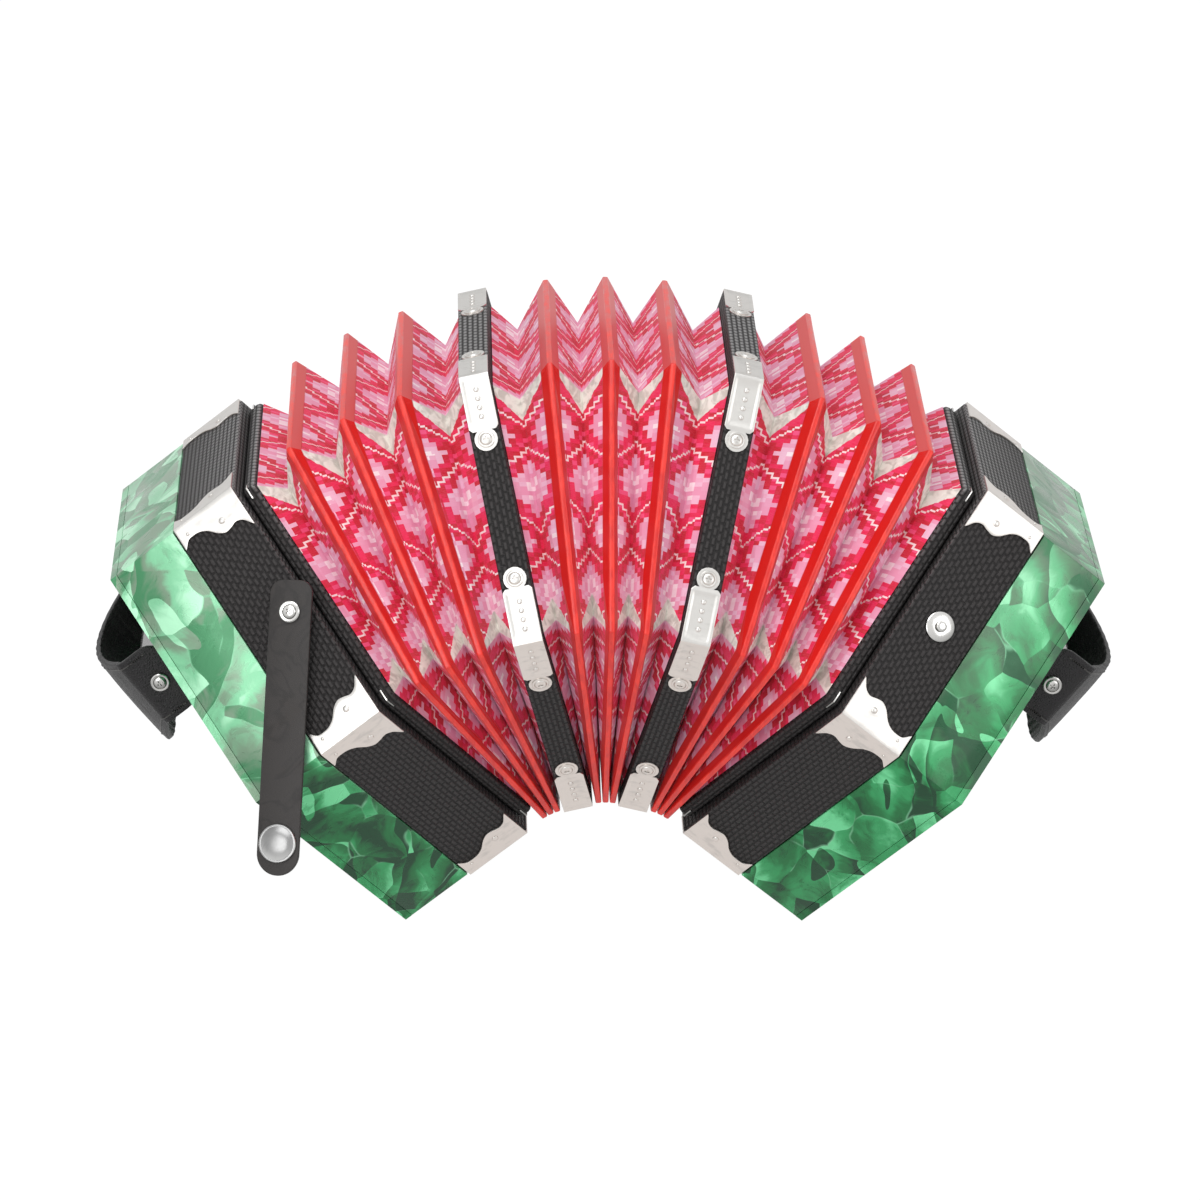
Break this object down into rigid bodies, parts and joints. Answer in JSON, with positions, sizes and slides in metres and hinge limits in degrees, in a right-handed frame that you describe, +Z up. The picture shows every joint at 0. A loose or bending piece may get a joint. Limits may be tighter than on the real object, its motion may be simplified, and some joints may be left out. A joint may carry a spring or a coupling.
{
  "type": "anglo concertina",
  "caption": "Hexagonal anglo concertina with folding cloth bellows, two corner-clipped frames, button ends, hand straps and a swinging closing strap with a snap.",
  "frame": {"origin": "on the surface it stands on, under the middle of the bounding box", "axes": "+X to the right-hand end, -Y to the player's front, +Z up"},
  "size_m": [0.3926, 0.2266, 0.2268],
  "materials": {
    "pearl_green": "glossy pearloid",
    "leatherette_black": "woven grain, satin",
    "bellows_cloth": "printed cloth",
    "leather_black": "smooth, satin",
    "polished_steel": "polished",
    "button_white": "polished",
    "rail_black": "black lacquer",
    "wood": "bare"
  },
  "bodies": {
    "left_end": {"left_bellows_end": "leatherette_black", "left_reed_box": "leatherette_black", "left_reed_pan": "wood", "left_action_box": "pearl_green", "left_action_board": "wood", "left_end_plate": "pearl_green", "left_hand_rail": "rail_black", "left_hand_strap": "leather_black", "left_strap_screw_front": "polished_steel", "left_strap_screw_back": "polished_steel", "closing_strap_screw": "polished_steel"},
    "closing_strap": {"closing_strap": "leather_black", "snap_cap": "polished_steel"},
    "left_fold_fourth": {"left_fold_fourth": "bellows_cloth"},
    "left_fold_third": {"left_fold_third": "bellows_cloth"},
    "left_fold_second": {"left_fold_second": "bellows_cloth"},
    "left_frame": {"left_frame": "leatherette_black"},
    "left_fold_inner": {"left_fold_inner": "bellows_cloth"},
    "fold_middle": {"fold_middle": "bellows_cloth"},
    "right_fold_inner": {"right_fold_inner": "bellows_cloth"},
    "right_frame": {"right_frame": "leatherette_black"},
    "right_fold_second": {"right_fold_second": "bellows_cloth"},
    "right_fold_third": {"right_fold_third": "bellows_cloth"},
    "right_fold_fourth": {"right_fold_fourth": "bellows_cloth"},
    "right_end": {"right_bellows_end": "leatherette_black", "right_reed_box": "leatherette_black", "right_reed_pan": "wood", "right_action_box": "pearl_green", "right_action_board": "wood", "right_end_plate": "pearl_green", "right_hand_rail": "rail_black", "right_hand_strap": "leather_black", "right_strap_screw_front": "polished_steel", "right_strap_screw_back": "polished_steel", "snap_stud": "polished_steel"},
    "left_button_1_1": {"left_button_1_1": "button_white"},
    "left_button_1_2": {"left_button_1_2": "button_white"},
    "left_button_1_3": {"left_button_1_3": "button_white"},
    "left_button_1_4": {"left_button_1_4": "button_white"},
    "left_button_1_5": {"left_button_1_5": "button_white"},
    "left_button_2_1": {"left_button_2_1": "button_white"},
    "left_button_2_2": {"left_button_2_2": "button_white"},
    "left_button_2_3": {"left_button_2_3": "button_white"},
    "left_button_2_4": {"left_button_2_4": "button_white"},
    "left_button_2_5": {"left_button_2_5": "button_white"},
    "right_button_1_1": {"right_button_1_1": "button_white"},
    "right_button_1_2": {"right_button_1_2": "button_white"},
    "right_button_1_3": {"right_button_1_3": "button_white"},
    "right_button_1_4": {"right_button_1_4": "button_white"},
    "right_button_1_5": {"right_button_1_5": "button_white"},
    "right_button_2_1": {"right_button_2_1": "button_white"},
    "right_button_2_2": {"right_button_2_2": "button_white"},
    "right_button_2_3": {"right_button_2_3": "button_white"},
    "right_button_2_4": {"right_button_2_4": "button_white"},
    "right_button_2_5": {"right_button_2_5": "button_white"},
    "air_button": {"air_button": "button_white"}
  },
  "joints": [
    {"name": "fold_hinge_1", "type": "hinge", "parent": "left_end", "child": "left_fold_fourth", "pos_m": [-0.02398, 0.00958, 0.04198], "axis": [0, -1, 0], "range_deg": [0, 5.6], "deforming": ["left_fold_fourth"]},
    {"name": "fold_hinge_2", "type": "hinge", "parent": "left_fold_fourth", "child": "left_fold_third", "pos_m": [-0.02193, 0.00958, 0.04332], "axis": [0, -1, 0], "range_deg": [0, 6.6], "deforming": ["left_fold_fourth", "left_fold_third"]},
    {"name": "fold_hinge_3", "type": "hinge", "parent": "left_fold_third", "child": "left_fold_second", "pos_m": [-0.01952, 0.00958, 0.04453], "axis": [0, -1, 0], "range_deg": [0, 6.6], "deforming": ["left_fold_third", "left_fold_second"]},
    {"name": "fold_hinge_4", "type": "hinge", "parent": "left_fold_second", "child": "left_frame", "pos_m": [-0.01721, 0.00958, 0.04537], "axis": [0, -1, 0], "range_deg": [0, 6.7], "deforming": ["left_fold_second"]},
    {"name": "fold_hinge_5", "type": "hinge", "parent": "left_frame", "child": "left_fold_inner", "pos_m": [-0.00378, 0.00958, 0.04855], "axis": [0, -1, 0], "range_deg": [0, 6.7], "deforming": ["left_fold_inner"]},
    {"name": "fold_hinge_6", "type": "hinge", "parent": "left_fold_inner", "child": "fold_middle", "pos_m": [-0.00135, 0.00958, 0.04883], "axis": [0, -1, 0], "range_deg": [0, 6.6], "deforming": ["left_fold_inner", "fold_middle"]},
    {"name": "fold_hinge_7", "type": "hinge", "parent": "fold_middle", "child": "right_fold_inner", "pos_m": [0.00135, 0.00958, 0.04883], "axis": [0, -1, 0], "range_deg": [0, 6.6], "deforming": ["fold_middle", "right_fold_inner"]},
    {"name": "fold_hinge_8", "type": "hinge", "parent": "right_fold_inner", "child": "right_frame", "pos_m": [0.00378, 0.00958, 0.04855], "axis": [0, -1, 0], "range_deg": [0, 6.7], "deforming": ["right_fold_inner"]},
    {"name": "fold_hinge_9", "type": "hinge", "parent": "right_frame", "child": "right_fold_second", "pos_m": [0.01721, 0.00958, 0.04537], "axis": [0, -1, 0], "range_deg": [0, 6.7], "deforming": ["right_fold_second"]},
    {"name": "fold_hinge_10", "type": "hinge", "parent": "right_fold_second", "child": "right_fold_third", "pos_m": [0.01952, 0.00958, 0.04453], "axis": [0, -1, 0], "range_deg": [0, 6.6], "deforming": ["right_fold_second", "right_fold_third"]},
    {"name": "fold_hinge_11", "type": "hinge", "parent": "right_fold_third", "child": "right_fold_fourth", "pos_m": [0.02193, 0.00958, 0.04332], "axis": [0, -1, 0], "range_deg": [0, 6.6], "deforming": ["right_fold_third", "right_fold_fourth"]},
    {"name": "fold_hinge_12", "type": "hinge", "parent": "right_fold_fourth", "child": "right_end", "pos_m": [0.02398, 0.00958, 0.04198], "axis": [0, -1, 0], "range_deg": [0, 5.6], "deforming": ["right_fold_fourth"]},
    {"name": "closing_strap_swing", "type": "hinge", "parent": "left_end", "child": "closing_strap", "pos_m": [-0.1176, -0.0685, 0.13577], "axis": [-0.3133, -0.866, 0.3897], "range_deg": [-25, 127.7]},
    {"name": "left_button_1_1_press", "type": "slide", "parent": "left_end", "child": "left_button_1_1", "axis": [0.7793, 0, 0.6266], "range_m": [0, 0.0035], "stiffness_N_per_m": 200, "springref_m": -0.003},
    {"name": "left_button_1_2_press", "type": "slide", "parent": "left_end", "child": "left_button_1_2", "axis": [0.7793, 0, 0.6266], "range_m": [0, 0.0035], "stiffness_N_per_m": 200, "springref_m": -0.003},
    {"name": "left_button_1_3_press", "type": "slide", "parent": "left_end", "child": "left_button_1_3", "axis": [0.7793, 0, 0.6266], "range_m": [0, 0.0035], "stiffness_N_per_m": 200, "springref_m": -0.003},
    {"name": "left_button_1_4_press", "type": "slide", "parent": "left_end", "child": "left_button_1_4", "axis": [0.7793, 0, 0.6266], "range_m": [0, 0.0035], "stiffness_N_per_m": 200, "springref_m": -0.003},
    {"name": "left_button_1_5_press", "type": "slide", "parent": "left_end", "child": "left_button_1_5", "axis": [0.7793, 0, 0.6266], "range_m": [0, 0.0035], "stiffness_N_per_m": 200, "springref_m": -0.003},
    {"name": "left_button_2_1_press", "type": "slide", "parent": "left_end", "child": "left_button_2_1", "axis": [0.7793, 0, 0.6266], "range_m": [0, 0.0035], "stiffness_N_per_m": 200, "springref_m": -0.003},
    {"name": "left_button_2_2_press", "type": "slide", "parent": "left_end", "child": "left_button_2_2", "axis": [0.7793, 0, 0.6266], "range_m": [0, 0.0035], "stiffness_N_per_m": 200, "springref_m": -0.003},
    {"name": "left_button_2_3_press", "type": "slide", "parent": "left_end", "child": "left_button_2_3", "axis": [0.7793, 0, 0.6266], "range_m": [0, 0.0035], "stiffness_N_per_m": 200, "springref_m": -0.003},
    {"name": "left_button_2_4_press", "type": "slide", "parent": "left_end", "child": "left_button_2_4", "axis": [0.7793, 0, 0.6266], "range_m": [0, 0.0035], "stiffness_N_per_m": 200, "springref_m": -0.003},
    {"name": "left_button_2_5_press", "type": "slide", "parent": "left_end", "child": "left_button_2_5", "axis": [0.7793, 0, 0.6266], "range_m": [0, 0.0035], "stiffness_N_per_m": 200, "springref_m": -0.003},
    {"name": "right_button_1_1_press", "type": "slide", "parent": "right_end", "child": "right_button_1_1", "axis": [-0.7793, 0, 0.6266], "range_m": [0, 0.0035], "stiffness_N_per_m": 200, "springref_m": -0.003},
    {"name": "right_button_1_2_press", "type": "slide", "parent": "right_end", "child": "right_button_1_2", "axis": [-0.7793, 0, 0.6266], "range_m": [0, 0.0035], "stiffness_N_per_m": 200, "springref_m": -0.003},
    {"name": "right_button_1_3_press", "type": "slide", "parent": "right_end", "child": "right_button_1_3", "axis": [-0.7793, 0, 0.6266], "range_m": [0, 0.0035], "stiffness_N_per_m": 200, "springref_m": -0.003},
    {"name": "right_button_1_4_press", "type": "slide", "parent": "right_end", "child": "right_button_1_4", "axis": [-0.7793, 0, 0.6266], "range_m": [0, 0.0035], "stiffness_N_per_m": 200, "springref_m": -0.003},
    {"name": "right_button_1_5_press", "type": "slide", "parent": "right_end", "child": "right_button_1_5", "axis": [-0.7793, 0, 0.6266], "range_m": [0, 0.0035], "stiffness_N_per_m": 200, "springref_m": -0.003},
    {"name": "right_button_2_1_press", "type": "slide", "parent": "right_end", "child": "right_button_2_1", "axis": [-0.7793, 0, 0.6266], "range_m": [0, 0.0035], "stiffness_N_per_m": 200, "springref_m": -0.003},
    {"name": "right_button_2_2_press", "type": "slide", "parent": "right_end", "child": "right_button_2_2", "axis": [-0.7793, 0, 0.6266], "range_m": [0, 0.0035], "stiffness_N_per_m": 200, "springref_m": -0.003},
    {"name": "right_button_2_3_press", "type": "slide", "parent": "right_end", "child": "right_button_2_3", "axis": [-0.7793, 0, 0.6266], "range_m": [0, 0.0035], "stiffness_N_per_m": 200, "springref_m": -0.003},
    {"name": "right_button_2_4_press", "type": "slide", "parent": "right_end", "child": "right_button_2_4", "axis": [-0.7793, 0, 0.6266], "range_m": [0, 0.0035], "stiffness_N_per_m": 200, "springref_m": -0.003},
    {"name": "right_button_2_5_press", "type": "slide", "parent": "right_end", "child": "right_button_2_5", "axis": [-0.7793, 0, 0.6266], "range_m": [0, 0.0035], "stiffness_N_per_m": 200, "springref_m": -0.003},
    {"name": "air_button_press", "type": "slide", "parent": "right_end", "child": "air_button", "axis": [-0.7793, 0, 0.6266], "range_m": [0, 0.0035], "stiffness_N_per_m": 200, "springref_m": -0.003}
  ],
  "couplings": [
    {"joint": "fold_hinge_2", "follows": "fold_hinge_1", "ratio": 1.1785},
    {"joint": "fold_hinge_3", "follows": "fold_hinge_1", "ratio": 1.1785},
    {"joint": "fold_hinge_4", "follows": "fold_hinge_1", "ratio": 1.1964},
    {"joint": "fold_hinge_5", "follows": "fold_hinge_1", "ratio": 1.1964},
    {"joint": "fold_hinge_6", "follows": "fold_hinge_1", "ratio": 1.1785},
    {"joint": "fold_hinge_7", "follows": "fold_hinge_1", "ratio": 1.1785},
    {"joint": "fold_hinge_8", "follows": "fold_hinge_1", "ratio": 1.1964},
    {"joint": "fold_hinge_9", "follows": "fold_hinge_1", "ratio": 1.1964},
    {"joint": "fold_hinge_10", "follows": "fold_hinge_1", "ratio": 1.1785},
    {"joint": "fold_hinge_11", "follows": "fold_hinge_1", "ratio": 1.1785},
    {"joint": "fold_hinge_12", "follows": "fold_hinge_1", "ratio": 1}
  ]
}
